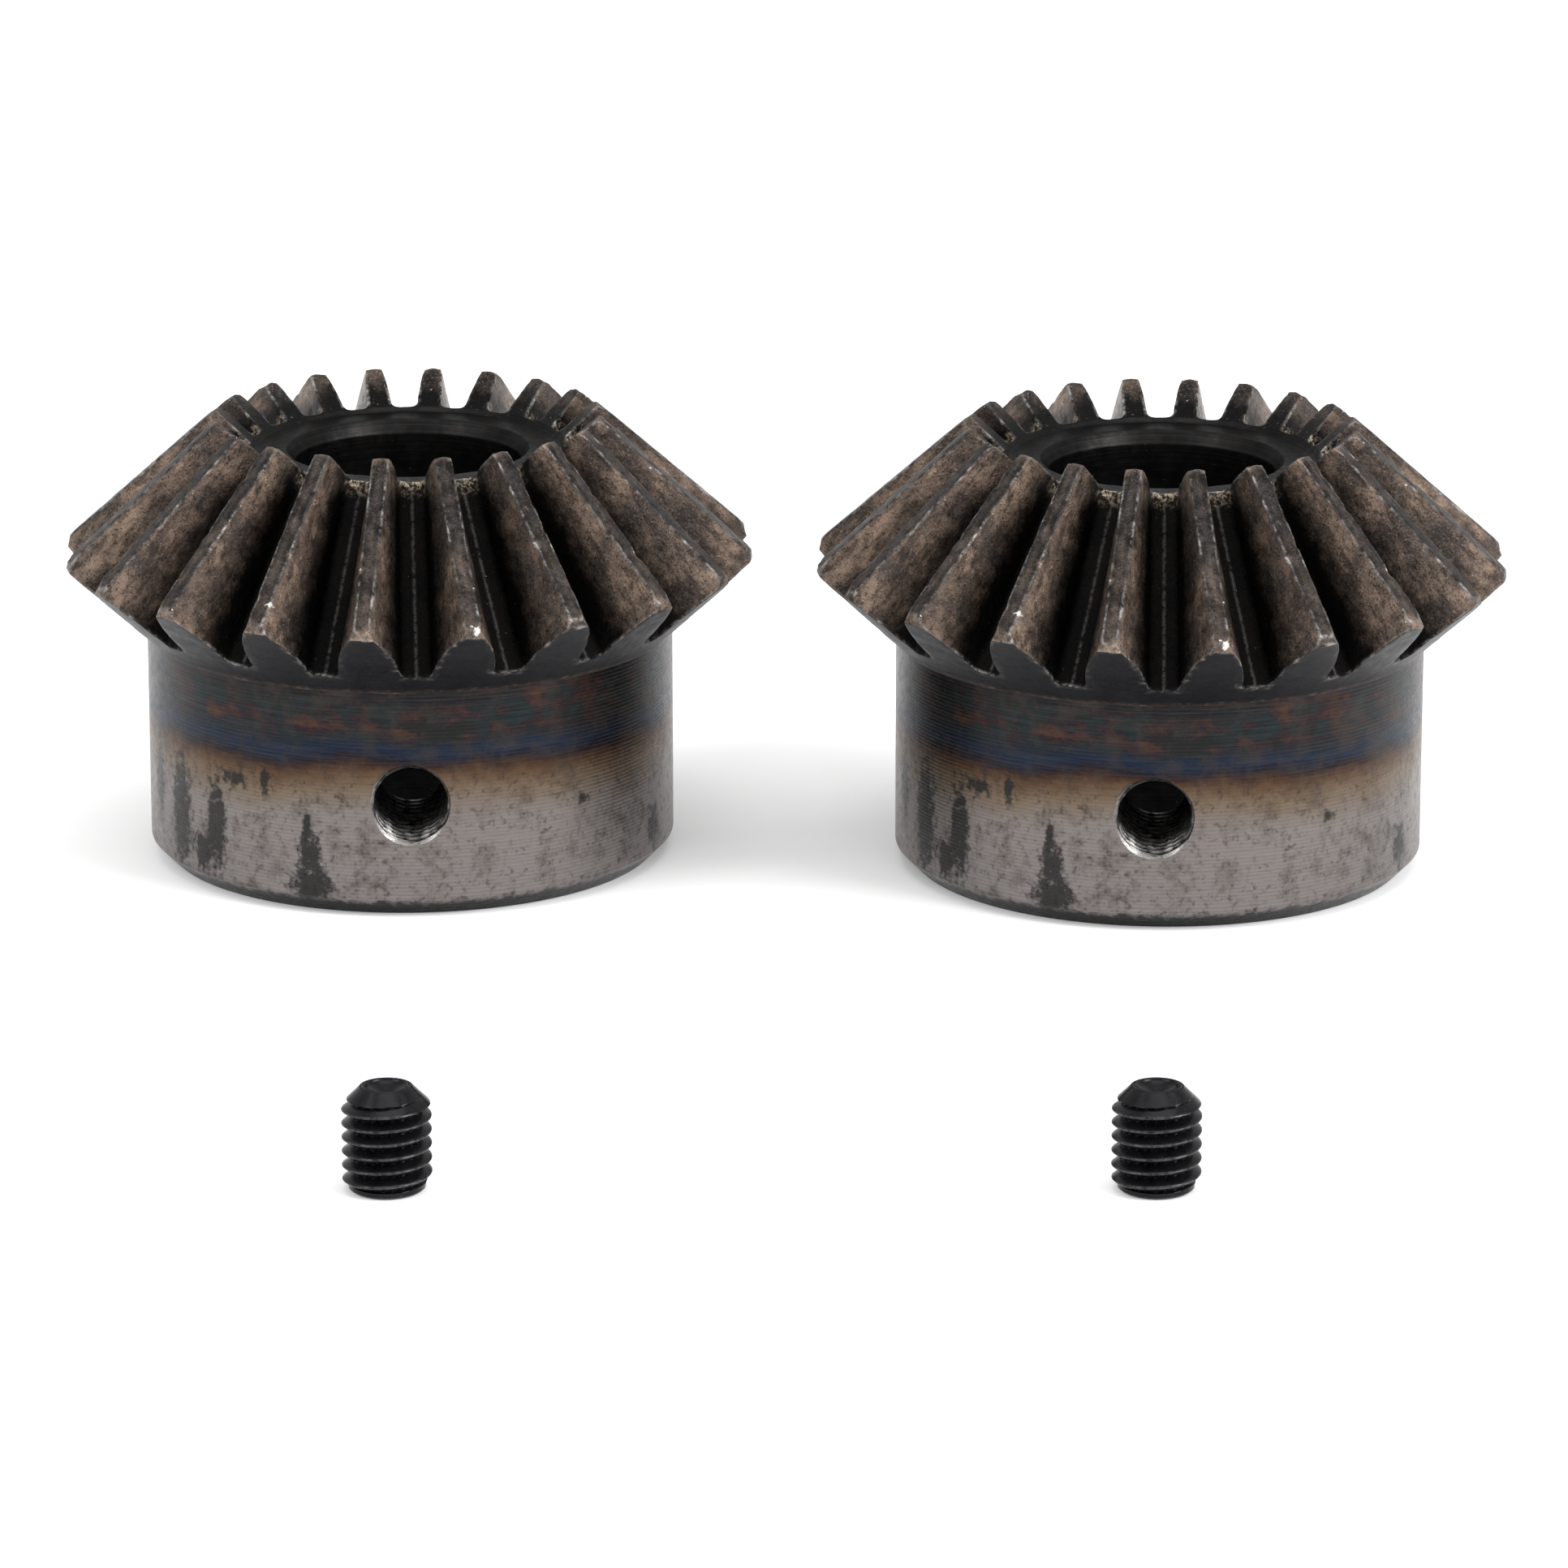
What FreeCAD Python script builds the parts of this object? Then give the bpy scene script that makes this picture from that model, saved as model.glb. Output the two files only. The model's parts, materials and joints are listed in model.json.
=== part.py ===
import FreeCAD, Part
import math
import os
import re

import Sketcher
from FreeCAD import Placement, Rotation, Vector

# A pair of equal straight bevel gears (mitre gears, 20 teeth, module 2) and their two set screws.
# Each gear stands on its hub, teeth up. The two gears stand side by side, and each one's set screw
# stands upright in front of it, cup point up. Swung a quarter turn about a hinge line midway
# between them, the right gear meshes with the left one, shafts at 90 degrees.
#
# Frame: the origin is the centre of the left gear's bore at its hub face, +Z along that bore,
# +X towards the right gear. Millimetres and degrees.

GEAR_SIZES = {
    "tooth_count": 20,
    "pitch_angle": 45,
    "cone_distance": 28.284,      # pitch cone apex to the large end of a tooth
    "face_width": 12.6,           # length of a tooth along the pitch cone
    "apex_height": 38.0,          # hub face to pitch cone apex: the mounting distance
    "hub_radius": 16.4,
    "hub_length": 14.3,           # hub face to the corner where the back cone starts
    "outside_radius": 21.45,
    "facet_low": 18.9,            # short cylinder turned on the outer corner of the teeth
    "facet_high": 19.5,
    "nose_tip_radius": 12.0,      # tooth tips at the small end
    "total_height": 27.9,
    "nose_face_height": 25.6,     # flat ring around the bore
    "nose_face_radius": 9.44,
    "bore_radius": 7.0,
    "nose_chamfer_width": 0.55,
    "nose_chamfer_depth": 0.8,
    "hub_edge_chamfer": 1.2,
    "tapped_hole_height": 7.2,    # centre of the set screw's hole above the hub face
    "tapped_hole_radius": 2.1,    # drilled size for an M5 thread
    "tapped_hole_chamfer": 0.3,
    "tapped_hole_offset": -1.5,   # angle from the middle of a tooth space
}

# The space between two teeth, at the large and the small end of a tooth. Widths are half widths,
# and heights are measured outwards from the pitch cone.
SPACE_SIZES = {
    "mouth_half_large": 2.83,
    "mouth_half_small": 1.37,
    "mouth_height_large": 1.87,
    "mouth_height_small": 1.31,
    "wall_half_large": 0.97,
    "wall_half_small": 0.84,
    "wall_height_large": -2.65,
    "wall_height_small": -1.25,
    "root_fillet_large": 0.5,
    "root_fillet_small": 0.47,
    "flank_radius_large": 10.0,
    "flank_radius_small": 16.0,
    "cutter_overrun": 1.3,        # how far the cutter runs past each end of the tooth
    "cutter_headroom": 3.6,       # top of the cutter above the pitch cone
}

SCREW_SIZES = {
    "screw_length": 6.0,
    "thread_radius": 2.5,         # M5
    "thread_pitch": 0.8,
    "thread_depth": 0.49,
    "screw_foot_chamfer": 0.35,
    "cup_rim_radius": 1.35,
    "cup_radius": 1.2,
    "cup_depth": 0.6,
    "socket_half_width": 1.25,
    "socket_depth": 2.4,
}

LAYOUT_SIZES = {
    "gear_spacing": 46.8,
    "left_gear_turn": 7.35,       # angle of a tooth space from the front, towards +X
    "right_gear_turn": 1.65,
    "left_screw_x": 5.6,
    "left_screw_y": -66.3,
    "right_screw_x": 47.8,
    "right_screw_y": -63.7,
}

VERTICAL_AXIS = -2                # Sketcher's number for a sketch's own vertical axis
HORIZONTAL_AXIS = -1
START, END, CENTRE = 1, 2, 3      # Sketcher's numbers for the points of a line or an arc

document = FreeCAD.newDocument("bevel_gear_pair")


def fill_sheet():
    sheet = document.addObject("Spreadsheet::Sheet", "Sizes")
    row = 1
    for group in (GEAR_SIZES, SPACE_SIZES, SCREW_SIZES, LAYOUT_SIZES):
        for alias, value in group.items():
            sheet.set(f"A{row}", alias)
            sheet.set(f"B{row}", str(value))
            sheet.setAlias(f"B{row}", alias)
            row += 1
    document.recompute()


def of_sizes(formula):
    """Writes the sheet's name in front of every alias in a formula."""
    aliases = set().union(GEAR_SIZES, SPACE_SIZES, SCREW_SIZES, LAYOUT_SIZES)
    return re.sub("[a-z_]+", lambda word: ("Sizes." if word[0] in aliases else "") + word[0], formula)


def new_sketch(body, name, plane_role, offset=Placement()):
    """A sketch on one of the body's own origin planes, moved by an offset."""
    sketch = body.newObject("Sketcher::SketchObject", name)
    plane = next(item for item in body.Origin.OriginFeatures if item.Role == plane_role)
    sketch.AttachmentSupport = [(plane, "")]
    sketch.MapMode = "FlatFace"
    sketch.AttachmentOffset = offset
    return sketch


def place_point(sketch, edge, point, across, up):
    """Ties a point of an edge to its two formulas, or to an axis where a formula is 0."""
    for formula, kind, axis in ((across, "DistanceX", VERTICAL_AXIS), (up, "DistanceY", HORIZONTAL_AXIS)):
        if formula == "0":
            sketch.addConstraint(Sketcher.Constraint("PointOnObject", edge, point, axis))
            continue
        text = of_sizes(formula)
        value = float(sketch.evalExpression(text))
        index = sketch.addConstraint(Sketcher.Constraint(kind, -1, 1, edge, point, value))
        sketch.setExpression(f"Constraints[{index}]", text)


def draw_polygon(sketch, corners):
    """A closed polygon whose corners are pairs of formulas."""
    points = [Vector(float(sketch.evalExpression(of_sizes(across))),
                     float(sketch.evalExpression(of_sizes(up))), 0) for across, up in corners]
    first = sketch.GeometryCount
    count = len(corners)
    for index in range(count):
        sketch.addGeometry(Part.LineSegment(points[index], points[(index + 1) % count]), False)
    for index in range(count):
        following = first + (index + 1) % count
        sketch.addConstraint(Sketcher.Constraint("Coincident", first + index, END, following, START))
    for index, (across, up) in enumerate(corners):
        place_point(sketch, first + index, START, across, up)


def draw_tooth_space(sketch, end_name, overrun_sign):
    """The cutter's outline past one end of the tooth: mouth, curved flanks and a filleted root."""
    def at_cutter(name):
        # The outline changes evenly along the tooth, so past its end it goes on at the same rate.
        change = f"({name}_large - {name}_small) * cutter_overrun / face_width"
        return f"({name}_{end_name} {overrun_sign} {change})"

    def value(formula):
        return float(sketch.evalExpression(of_sizes(formula)))

    mouth, mouth_height = at_cutter("mouth_half"), at_cutter("mouth_height")
    wall, wall_height = at_cutter("wall_half"), at_cutter("wall_height")
    fillet, flank = at_cutter("root_fillet"), at_cutter("flank_radius")
    root, root_height = f"({wall} - {fillet})", f"({wall_height} - {fillet})"

    def corner(side, across, up):
        return Vector(side * value(across), value(up), 0)

    def flank_arc(side):
        low, high = corner(side, wall, wall_height), corner(side, mouth, mouth_height)
        chord = high - low
        towards_tooth = Vector(chord.y, -chord.x, 0).normalize() * side
        reach = (value(flank) ** 2 - chord.Length ** 2 / 4) ** 0.5
        centre = (low + high) / 2 + towards_tooth * reach
        first, last = (high, low) if side > 0 else (low, high)
        return arc_between(centre, value(flank), first, last)

    def root_arc(side):
        centre = corner(side, root, wall_height)
        wall_end, root_end = corner(side, wall, wall_height), corner(side, root, root_height)
        first, last = (root_end, wall_end) if side > 0 else (wall_end, root_end)
        return arc_between(centre, value(fillet), first, last)

    # Anticlockwise from the top. An arc's own start and end are anticlockwise too.
    top, left_mouth, left_flank, left_root, floor, right_root, right_flank, right_mouth = range(8)
    for shape in (
        Part.LineSegment(corner(1, mouth, "cutter_headroom"), corner(-1, mouth, "cutter_headroom")),
        Part.LineSegment(corner(-1, mouth, "cutter_headroom"), corner(-1, mouth, mouth_height)),
        flank_arc(-1),
        root_arc(-1),
        Part.LineSegment(corner(-1, root, root_height), corner(1, root, root_height)),
        root_arc(1),
        flank_arc(1),
        Part.LineSegment(corner(1, mouth, mouth_height), corner(1, mouth, "cutter_headroom")),
    ):
        sketch.addGeometry(shape, False)
    for one, one_end, other, other_end in (
        (top, END, left_mouth, START),
        (left_mouth, END, left_flank, END),
        (left_flank, START, left_root, START),
        (left_root, END, floor, START),
        (floor, END, right_root, START),
        (right_root, END, right_flank, END),
        (right_flank, START, right_mouth, START),
        (right_mouth, END, top, START),
    ):
        sketch.addConstraint(Sketcher.Constraint("Coincident", one, one_end, other, other_end))
    place_point(sketch, top, START, mouth, "cutter_headroom")
    place_point(sketch, top, END, f"-1 * {mouth}", "cutter_headroom")
    place_point(sketch, right_mouth, START, mouth, mouth_height)
    place_point(sketch, left_mouth, END, f"-1 * {mouth}", mouth_height)
    place_point(sketch, right_root, END, wall, wall_height)
    place_point(sketch, left_root, START, f"-1 * {wall}", wall_height)
    place_point(sketch, floor, END, root, root_height)
    place_point(sketch, floor, START, f"-1 * {root}", root_height)
    for edge, formula in ((left_flank, flank), (right_flank, flank), (left_root, fillet), (right_root, fillet)):
        index = sketch.addConstraint(Sketcher.Constraint("Radius", edge, value(formula)))
        sketch.setExpression(f"Constraints[{index}]", of_sizes(formula))


def arc_between(centre, radius, first, last):
    """An arc that runs anticlockwise from first to last."""
    angles = [math.atan2(point.y - centre.y, point.x - centre.x) for point in (first, last)]
    circle = Part.Circle(centre, Vector(0, 0, 1), radius)
    return Part.ArcOfCircle(circle, angles[0], angles[1])


def add_feature(body, kind, name, profile):
    feature = body.newObject(kind, name)
    feature.Profile = profile
    return feature


def gear_blank(body):
    """The turned blank: hub, back cone, tooth tips, nose and bore, all in one outline."""
    outline = new_sketch(body, "BlankOutline", "XZ_Plane")
    draw_polygon(outline, [
        ("bore_radius", "0"),
        ("hub_radius - hub_edge_chamfer", "0"),
        ("hub_radius", "hub_edge_chamfer"),
        ("hub_radius", "hub_length"),
        ("outside_radius", "facet_low"),
        ("outside_radius", "facet_high"),
        ("nose_tip_radius", "total_height"),
        ("nose_face_radius", "nose_face_height"),
        ("bore_radius + nose_chamfer_width", "nose_face_height"),
        ("bore_radius", "nose_face_height - nose_chamfer_depth"),
    ])
    blank = add_feature(body, "PartDesign::Revolution", "Blank", outline)
    blank.ReferenceAxis = (outline, ["V_Axis"])
    blank.Angle = 360
    document.recompute()
    return outline


def space_sketch(body, name, end_name, distance, overrun_sign):
    """One cutter outline, square to the pitch cone at a distance from its apex."""
    sketch = new_sketch(body, name, "XY_Plane", Placement(Vector(), Rotation(Vector(1, 0, 0), 135)))
    sketch.setExpression("AttachmentOffset.Base.y", of_sizes(f"-1 * ({distance}) * sin(pitch_angle)"))
    sketch.setExpression("AttachmentOffset.Base.z",
                         of_sizes(f"apex_height - ({distance}) * cos(pitch_angle)"))
    draw_tooth_space(sketch, end_name, overrun_sign)
    return sketch


def cut_teeth(body, outline):
    """One tapering tooth space, then all of them round the bore."""
    large = space_sketch(body, "SpaceLargeEnd", "large", "cone_distance + cutter_overrun", "+")
    small = space_sketch(body, "SpaceSmallEnd", "small",
                         "cone_distance - face_width - cutter_overrun", "-")
    space = add_feature(body, "PartDesign::SubtractiveLoft", "ToothSpace", large)
    space.Sections = [small]
    space.Ruled = True
    document.recompute()
    teeth = body.newObject("PartDesign::PolarPattern", "Teeth")
    teeth.Originals = [space]
    teeth.Axis = (outline, ["V_Axis"])
    teeth.Angle = 360
    teeth.setExpression("Occurrences", of_sizes("tooth_count"))
    body.Tip = teeth
    document.recompute()


def drill_tapped_hole(body):
    """The set screw's hole, square through the hub wall into the bore, with its mouth chamfered."""
    sketch = new_sketch(body, "TappedHoleOutline", "XY_Plane")
    sketch.setExpression("AttachmentOffset.Base.z", of_sizes("tapped_hole_height"))
    sketch.setExpression("AttachmentOffset.Rotation.Angle", of_sizes("tapped_hole_offset"))
    draw_polygon(sketch, [
        ("0", "-0.7 * bore_radius"),
        ("tapped_hole_radius", "-0.7 * bore_radius"),
        ("tapped_hole_radius", "tapped_hole_chamfer - hub_radius"),
        ("tapped_hole_radius + 2 * tapped_hole_chamfer", "-1 * hub_radius - tapped_hole_chamfer"),
        ("0", "-1 * hub_radius - tapped_hole_chamfer"),
    ])
    before = body.Shape.Volume
    hole = add_feature(body, "PartDesign::Groove", "TappedHole", sketch)
    hole.ReferenceAxis = (sketch, ["V_Axis"])
    hole.Angle = 360
    body.Tip = hole
    document.recompute()
    if not body.Shape.Volume < before:
        raise RuntimeError("the tapped hole removed no metal")


def make_gear(label, turn, place_x):
    body = document.addObject("PartDesign::Body", label)
    body.Label = label
    outline = gear_blank(body)
    cut_teeth(body, outline)
    drill_tapped_hole(body)
    body.setExpression("Placement.Rotation.Angle", of_sizes(turn))
    if place_x:
        body.setExpression("Placement.Base.x", of_sizes(place_x))
    return body


def make_set_screw(label, place_x, place_y):
    """A hexagon socket set screw with a cup point, standing on its socket end."""
    body = document.addObject("PartDesign::Body", label)
    body.Label = label
    outline = new_sketch(body, "ScrewOutline", "XZ_Plane")
    draw_polygon(outline, [
        ("0", "0"),
        ("thread_radius - screw_foot_chamfer", "0"),
        ("thread_radius", "screw_foot_chamfer"),
        ("thread_radius", "screw_length - thread_radius + cup_rim_radius"),
        ("cup_rim_radius", "screw_length"),
        ("cup_radius", "screw_length"),
        ("0", "screw_length - cup_depth"),
    ])
    blank = add_feature(body, "PartDesign::Revolution", "ScrewBlank", outline)
    blank.ReferenceAxis = (outline, ["V_Axis"])
    blank.Angle = 360
    document.recompute()

    socket_outline = new_sketch(body, "SocketOutline", "XY_Plane")
    corner = "socket_half_width / cos(30)"
    draw_polygon(socket_outline, [
        (f"{corner} * cos({angle})", f"{corner} * sin({angle})") if angle else (corner, "0")
        for angle in (0, 60, 120)
    ] + [
        (f"-1 * {corner}", "0") if angle == 180 else
        (f"{corner} * cos({angle})", f"{corner} * sin({angle})")
        for angle in (180, 240, 300)
    ])
    before = body.Shape.Volume
    socket = add_feature(body, "PartDesign::Pocket", "Socket", socket_outline)
    socket.Reversed = True
    socket.setExpression("Length", of_sizes("socket_depth"))
    body.Tip = socket
    document.recompute()
    if not body.Shape.Volume < before:
        raise RuntimeError("the socket removed no metal")

    thread_outline = new_sketch(body, "ThreadOutline", "XZ_Plane")
    draw_polygon(thread_outline, [
        ("thread_radius - thread_depth", "-1 * thread_pitch"),
        ("thread_radius + 0.1 * thread_pitch", "-1.43 * thread_pitch"),
        ("thread_radius + 0.1 * thread_pitch", "-0.57 * thread_pitch"),
    ])
    before = body.Shape.Volume
    thread = add_feature(body, "PartDesign::SubtractiveHelix", "Thread", thread_outline)
    thread.ReferenceAxis = (thread_outline, ["V_Axis"])
    thread.Mode = "pitch-height-angle"
    thread.setExpression("Pitch", of_sizes("thread_pitch"))
    thread.setExpression("Height", of_sizes("screw_length + 2 * thread_pitch"))
    body.Tip = thread
    document.recompute()
    if not body.Shape.Volume < before:
        raise RuntimeError("the thread removed no metal")
    body.setExpression("Placement.Base.x", of_sizes(place_x))
    body.setExpression("Placement.Base.y", of_sizes(place_y))
    return body


def check_and_export(bodies):
    document.recompute()
    for item in document.Objects:
        if "Invalid" in item.State or "Error" in item.State:
            raise RuntimeError(f"{item.Label} failed to build")
    for body in bodies:
        if body.Shape.isNull() or not body.Shape.isValid():
            raise RuntimeError(f"{body.Label} is not a valid solid")
        if len(body.Shape.Solids) != 1:
            raise RuntimeError(f"{body.Label} is not one solid")
    os.makedirs("parts", exist_ok=True)
    for body in bodies:
        body.Shape.exportStep(f"parts/{body.Label}.step")


fill_sheet()
check_and_export([
    make_gear("gear_left", "left_gear_turn", None),
    make_gear("gear_right", "right_gear_turn", "gear_spacing"),
    make_set_screw("set_screw_left", "left_screw_x", "left_screw_y"),
    make_set_screw("set_screw_right", "right_screw_x", "right_screw_y"),
])
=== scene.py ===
import json
import math

import bmesh
import bpy
import numpy as np
from mathutils import Matrix, Vector, noise


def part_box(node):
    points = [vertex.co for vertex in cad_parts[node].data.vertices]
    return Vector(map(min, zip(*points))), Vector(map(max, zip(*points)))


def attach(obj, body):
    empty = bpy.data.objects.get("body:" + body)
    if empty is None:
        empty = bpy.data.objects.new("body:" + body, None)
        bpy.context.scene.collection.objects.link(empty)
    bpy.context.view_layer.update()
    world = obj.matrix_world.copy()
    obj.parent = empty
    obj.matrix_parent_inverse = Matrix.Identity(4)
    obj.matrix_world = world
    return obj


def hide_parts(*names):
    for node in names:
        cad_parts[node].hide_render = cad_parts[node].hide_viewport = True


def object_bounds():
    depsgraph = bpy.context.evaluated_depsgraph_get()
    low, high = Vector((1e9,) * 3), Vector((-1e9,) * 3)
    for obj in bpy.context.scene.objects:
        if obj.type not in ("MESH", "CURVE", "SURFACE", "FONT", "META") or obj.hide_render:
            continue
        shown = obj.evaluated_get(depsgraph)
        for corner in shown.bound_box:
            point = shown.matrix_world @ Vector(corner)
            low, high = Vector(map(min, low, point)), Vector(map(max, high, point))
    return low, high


# Looks for the bevel gear pair: two heat-tinted steel mitre gears and their black set screws.
# Every piece is built as a fine mesh in millimetres, in its own frame, and scaled to metres when
# it becomes an object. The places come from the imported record's joints, mounts and boxes.

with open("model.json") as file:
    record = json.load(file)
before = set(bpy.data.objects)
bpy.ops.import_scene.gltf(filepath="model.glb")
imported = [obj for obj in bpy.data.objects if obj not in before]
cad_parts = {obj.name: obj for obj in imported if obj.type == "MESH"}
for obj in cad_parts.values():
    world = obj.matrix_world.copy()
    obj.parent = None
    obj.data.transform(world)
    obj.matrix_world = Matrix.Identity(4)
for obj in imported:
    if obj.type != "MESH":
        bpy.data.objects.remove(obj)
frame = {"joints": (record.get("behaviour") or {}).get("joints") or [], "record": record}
cad_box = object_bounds()

MM = 0.001

# ------------------------------------------------------------------ gear, in its own frame
# The axis is Z, the hub face is at height 0 and one tooth space is centred on -Y.
# Azimuths are measured from -Y towards +X.

TEETH = 20
HALF_PITCH = math.pi / TEETH
APEX_HEIGHT = 38.0              # hub face to the pitch cone's apex
LARGE_CONE = 28.284             # cone distance of the large end of a tooth
SMALL_CONE = 15.684

# Corners of the turned blank, as (radius, height)
BORE_FOOT = (7.0, 0.0)
HUB_FOOT = (15.2, 0.0)
HUB_EDGE = (16.4, 1.2)
HUB_CORNER = (16.4, 14.3)
FACET_LOW = (21.45, 18.9)
FACET_HIGH = (21.45, 19.5)
NOSE_TIP = (12.0, 27.9)
NOSE_RIM = (9.44, 25.6)
CHAMFER_TOP = (7.55, 25.6)
CHAMFER_FOOT = (7.0, 24.8)

# The space between two teeth, at (large end, small end). Heights are above the pitch cone.
MOUTH_HALF = (2.83, 1.37)
MOUTH_HEIGHT = (1.87, 1.31)
WALL_HALF = (0.97, 0.84)
WALL_HEIGHT = (-2.65, -1.25)
ROOT_FILLET = (0.5, 0.47)
FLANK_RADIUS = (10.0, 16.0)
TIP_HEIGHT = (2.09, 1.34)

# Rows and columns of the mesh
FLOOR_STEPS = 3
FILLET_STEPS = 5
FLANK_STEPS = 16
FACET_STEPS = 2
LENGTH_STEPS = 56
LAND_STEPS = 3
CONE_STEPS = 4

EDGE_ROUNDING = 0.11            # worn edges of the teeth and the turned corners
ROUNDING_SEGMENTS = 3
SHARP_ANGLE = math.radians(30)  # edges sharper than this are rounded
UNEVENNESS = 0.03               # depth of the slight waviness of the toothed surface
EDGE_DENTS = 170
CHIP_SIZE = 0.55
CHIP_DEPTH = 0.08
FLOOR_LINE_HALF = 0.2           # half width of the worn line along the middle of each floor
SMALL_END_REACH = 2             # how far the look of the small end reaches along the teeth
# Chips that show bare bright metal: tooth counted from the one right of the hole, side of its top,
# and share of the way from its large end to its small end
FRESH_CHIPS = ((0, 0.4, 0.0), (2, 1, 0.3), (3, 1, 0.92), (18, 1, 0.12), (7, -1, 0.5), (12, 1, 0.05))
HALF_LAND = 0.55                # half width of a tooth's top

# Tapped hole for the set screw
HOLE_OFFSET = math.radians(-1.5)    # from the middle of the tooth space above it
HOLE_MINOR = 2.25
HOLE_MAJOR = 2.6
HOLE_CHAMFER = 0.33
HOLE_COLUMNS = 48
HOLE_START = 4.5                    # distance of its cutter's inner end from the axis, inside the bore
THREAD_PITCH = 0.8

# Which material each region of a gear takes
TOOTH, CONE, HUB, NOSE, THREAD = range(5)


def mix(pair, share):
    """The size at a share of the tooth's length, 1 at the large end; pair is (large end, small end)."""
    large, small = pair
    return small + share * (large - small)


def length_share(cone):
    """A cone distance as a share of the tooth's length: 0 at the small end, 1 at the large end."""
    return (cone - SMALL_CONE) / (LARGE_CONE - SMALL_CONE)


def axis_turn(angle):
    """The matrix of a turn about the gear's axis."""
    return np.array([
        [math.cos(angle), -math.sin(angle), 0],
        [math.sin(angle), math.cos(angle), 0],
        [0, 0, 1],
    ])


def bisect(function, low, high, steps=48):
    """Where function changes from negative at low to positive at high, for whole arrays at once."""
    low, high = np.broadcast_arrays(np.asarray(low, float), np.asarray(high, float))
    low, high = low.copy(), high.copy()
    for _ in range(steps):
        middle = (low + high) / 2
        above = function(middle) > 0
        high = np.where(above, middle, high)
        low = np.where(above, low, middle)
    return (low + high) / 2


def beyond(points, start, end):
    """How far points are to the left of the blank's profile line from start to end."""
    radius = np.hypot(points[..., 0], points[..., 1])
    along = np.subtract(end, start)
    return along[0] * (points[..., 2] - start[1]) - along[1] * (radius - start[0])


def place(side, height, cone):
    """A point of a tooth space, by side from its middle, height above the pitch cone, cone distance."""
    half_root = math.sqrt(0.5)
    y = -half_root * (cone + height)
    z = APEX_HEIGHT - half_root * (cone - height)
    return np.stack(np.broadcast_arrays(side, y, z), axis=-1)


def flank_point(share_up, cone):
    """A point of the convex flank, share_up from 0 at the root fillet to 1 at the nominal mouth."""
    share = length_share(cone)
    wall = np.stack(np.broadcast_arrays(mix(WALL_HALF, share), mix(WALL_HEIGHT, share)), -1)
    mouth = np.stack(np.broadcast_arrays(mix(MOUTH_HALF, share), mix(MOUTH_HEIGHT, share)), -1)
    radius = mix(FLANK_RADIUS, share)
    half_chord = np.linalg.norm(mouth - wall, axis=-1) / 2
    up = (mouth - wall) / (2 * half_chord[..., None])
    into_tooth = np.stack([up[..., 1], -up[..., 0]], -1)
    reach = np.sqrt(radius**2 - half_chord**2)
    centre = (wall + mouth) / 2 + into_tooth * reach[..., None]
    swing = (2 * share_up - 1) * np.arcsin(half_chord / radius)
    point = centre + radius[..., None] * (
        np.sin(swing)[..., None] * up - np.cos(swing)[..., None] * into_tooth
    )
    return place(point[..., 0], point[..., 1], cone)


def flank_top(cone):
    """The share_up at which the flank reaches the cone of the tooth tips."""
    return bisect(
        lambda share_up: beyond(flank_point(share_up, cone), FACET_HIGH, NOSE_TIP) * -1,
        np.full(np.shape(cone), 0.5),
        1.5,
    )


def space_point(outline, cone):
    """A point of half a tooth space.

    Its outline is 0 to 1 on the floor, 1 to 2 on the root fillet and 2 to 3 on the flank.
    """
    outline, cone = np.broadcast_arrays(outline, cone)
    share = length_share(cone)
    fillet = mix(ROOT_FILLET, share)
    floor_half = mix(WALL_HALF, share) - fillet
    turn = np.clip(outline - 1, 0, 1) * math.pi / 2
    side = floor_half * np.clip(outline, 0, 1) + fillet * np.sin(turn)
    height = mix(WALL_HEIGHT, share) - fillet * np.cos(turn)
    root = place(side, height, cone)
    flank = flank_point(np.maximum(outline - 2, 0) * flank_top(cone), cone)
    return np.where((outline > 2)[..., None], flank, root)


def past_large_end(points):
    """Positive outside the back cone or the short cylinder on the tooth corners."""
    radius = np.hypot(points[..., 0], points[..., 1])
    return np.maximum(-beyond(points, HUB_CORNER, FACET_LOW), radius - FACET_LOW[0])


def inside_small_end(points):
    """Positive on the metal's side of the cone at the small end of the teeth."""
    return -beyond(points, NOSE_RIM, NOSE_TIP)


def outline_stations():
    """The rows of a tooth space, with one row where the back cone meets the cylinder on the corner."""

    def past_facet(outline):
        reach = bisect(
            lambda cone: np.hypot(*np.moveaxis(space_point(outline, cone)[..., :2], -1, 0))
            - FACET_LOW[0],
            np.full(np.shape(outline), SMALL_CONE),
            LARGE_CONE + 3,
        )
        return beyond(space_point(outline, reach), HUB_CORNER, FACET_LOW)

    facet_row = float(bisect(past_facet, np.array([2.0]), 3.0)[0])
    rows = np.concatenate([
        np.linspace(0, 1, FLOOR_STEPS + 1),
        np.linspace(1, 2, FILLET_STEPS + 1)[1:],
        np.linspace(2, facet_row, FLANK_STEPS + 1)[1:],
        np.linspace(facet_row, 3, FACET_STEPS + 1)[1:],
    ])
    return rows


def turned(radius, height, azimuth):
    """Points on circles about the axis."""
    return np.stack(
        np.broadcast_arrays(radius * np.sin(azimuth), -radius * np.cos(azimuth), height), axis=-1
    )


def across_tooth(edge):
    """Rows of points from the edge of a tooth space to the middle of the tooth, each on its circle."""
    radius = np.hypot(edge[:, 0], edge[:, 1])
    start = np.arctan2(edge[:, 0], -edge[:, 1])
    share = np.linspace(0, 1, LAND_STEPS + 1)
    azimuth = start[:, None] + share[None, :] * (HALF_PITCH - start[:, None])
    return turned(radius[:, None], edge[:, 2][:, None], azimuth)


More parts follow.
